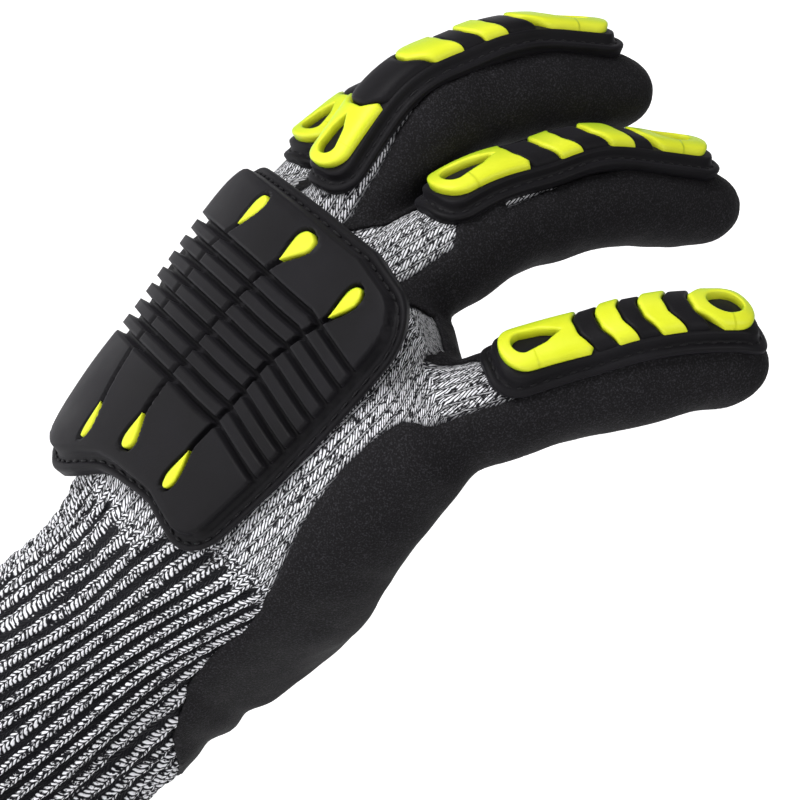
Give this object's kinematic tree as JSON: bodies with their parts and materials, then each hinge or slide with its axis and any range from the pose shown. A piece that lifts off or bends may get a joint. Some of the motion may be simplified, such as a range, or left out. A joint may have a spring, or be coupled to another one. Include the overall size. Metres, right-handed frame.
{
  "type": "impact resistant work glove",
  "caption": "Work glove for the right hand: ribbed knit cuff and liner, rough palm and fingertip coating, moulded rubber guards on the back of the hand and fingers.",
  "frame": {"origin": "centre of the wrist opening, in the plane of the cuff hem", "axes": "+Z along the forearm toward the fingers, -Y out of the back of the hand, +X toward the little finger side"},
  "size_m": [0.1458, 0.0894, 0.2439],
  "materials": {
    "liner_knit": "black and white marl knit, matt",
    "hem_thread": "green overlock thread, matt",
    "palm_nitrile": "sandy black nitrile, matt",
    "guard_rubber": "moulded black rubber, satin",
    "insert_yellow": "moulded high-visibility yellow rubber, satin"
  },
  "bodies": {
    "root": {"knit_liner": "liner_knit", "cuff_hem": "hem_thread", "palm_coating": "palm_nitrile", "back_guard": "guard_rubber", "back_guard_drop_1": "insert_yellow", "back_guard_drop_2": "insert_yellow", "back_guard_drop_3": "insert_yellow", "back_guard_drop_4": "insert_yellow", "back_guard_drop_5": "insert_yellow", "back_guard_drop_6": "insert_yellow", "little_guard": "guard_rubber", "little_tip_ring": "insert_yellow", "little_chevron_1": "insert_yellow", "little_chevron_2": "insert_yellow", "little_base_insert": "insert_yellow", "ring_guard": "guard_rubber", "ring_tip_ring": "insert_yellow", "ring_chevron_1": "insert_yellow", "ring_chevron_2": "insert_yellow", "ring_base_insert": "insert_yellow", "middle_guard": "guard_rubber", "middle_tip_ring": "insert_yellow", "middle_chevron_1": "insert_yellow", "middle_chevron_2": "insert_yellow", "middle_base_insert": "insert_yellow", "index_guard": "guard_rubber", "index_tip_ring": "insert_yellow", "index_chevron_1": "insert_yellow", "index_chevron_2": "insert_yellow", "index_base_insert": "insert_yellow"}
  },
  "joints": []
}
